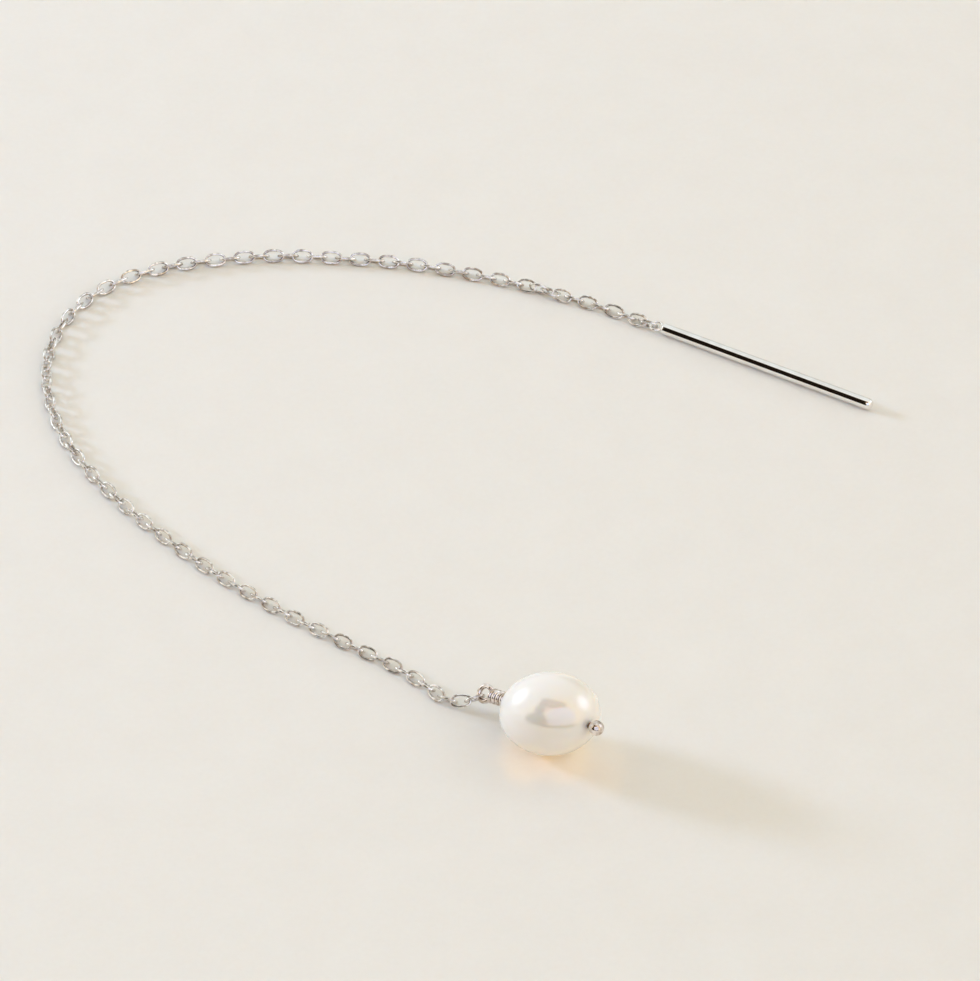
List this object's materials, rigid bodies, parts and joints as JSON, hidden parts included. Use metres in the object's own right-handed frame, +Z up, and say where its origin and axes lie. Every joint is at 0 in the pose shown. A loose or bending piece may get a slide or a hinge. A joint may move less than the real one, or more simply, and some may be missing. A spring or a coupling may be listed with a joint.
{
  "type": "pearl drop threader earring",
  "caption": "Threader drop earring lying flat: a polished bar that goes through the ear, a fine cable chain in a wide bend, and an oval pearl on a wire-wrapped head pin.",
  "frame": {"origin": "on the surface that the earring lies on, under the middle of its outline", "axes": "+X from the far bend of the chain towards the bar's tip, +Y from the pearl towards the bar's side of the outline, +Z up from the surface"},
  "size_m": [0.0628, 0.0578, 0.0064],
  "materials": {
    "bar_silver": "polished sterling silver",
    "chain_silver": "polished sterling silver wire",
    "pin_silver": "polished sterling silver wire",
    "pearl": "white nacre with a soft lustre"
  },
  "bodies": {
    "root": {"threader_bar": "bar_silver", "chain": "chain_silver", "head_pin": "pin_silver", "pearl": "pearl"}
  },
  "joints": []
}
